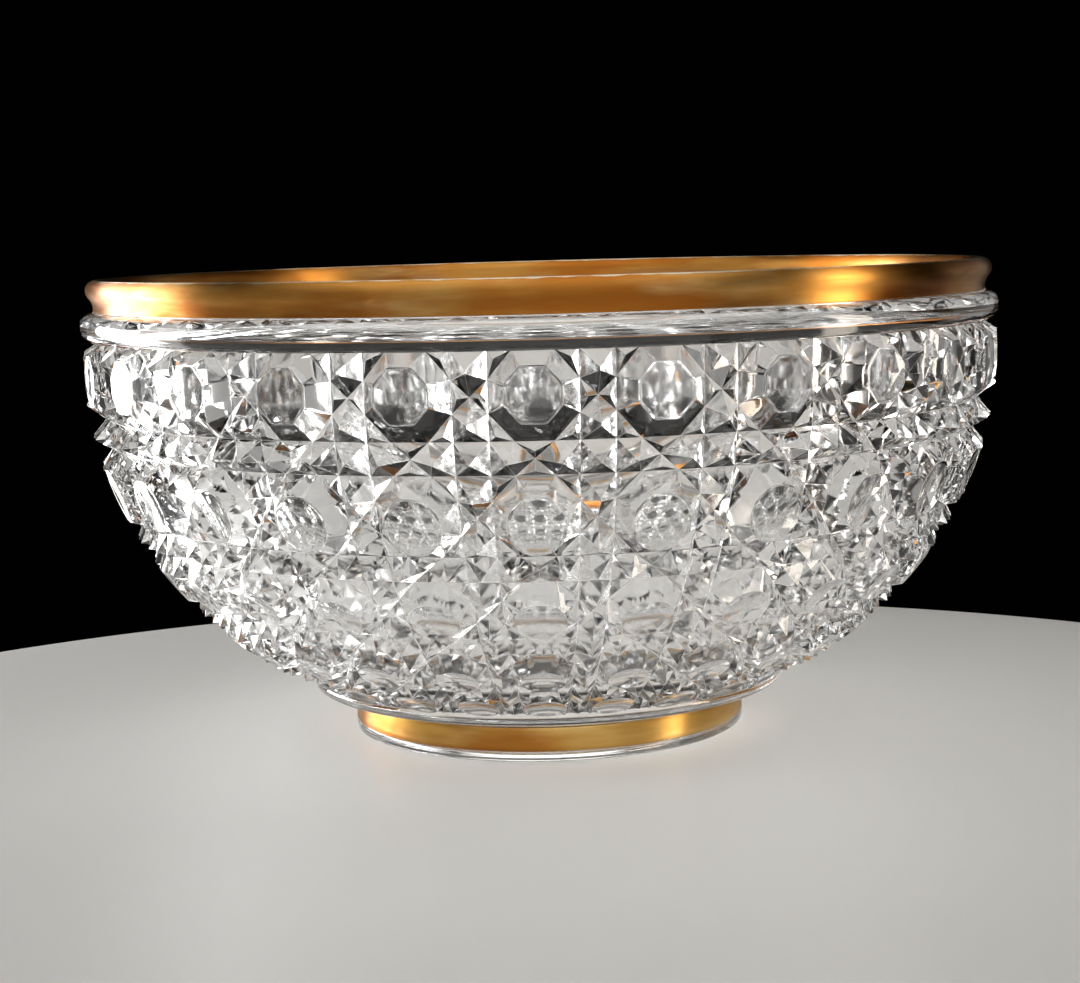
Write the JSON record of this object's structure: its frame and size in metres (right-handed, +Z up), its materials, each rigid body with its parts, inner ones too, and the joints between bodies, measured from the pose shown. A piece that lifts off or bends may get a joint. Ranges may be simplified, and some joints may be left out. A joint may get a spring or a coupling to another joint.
{
  "type": "punch bowl",
  "caption": "Round footed punch bowl of cut crystal, with octagonal buttons between pyramid bands, a round collar, a gilded lip and a gilded foot band.",
  "frame": {"origin": "centre of the foot's rest plane", "axes": "+Z up the bowl's axis; the middle of one column of buttons is at -Y"},
  "size_m": [0.2798, 0.2798, 0.1418],
  "materials": {
    "crystal": "clear, fire-polished inside, cut and acid-polished outside",
    "gilding": "fired gold, burnished, with fine turning marks and some wear on the lip"
  },
  "bodies": {
    "root": {"bowl_body": "crystal", "foot_ring": "crystal", "rim_gilding": "gilding", "foot_gilding": "gilding"}
  },
  "joints": []
}
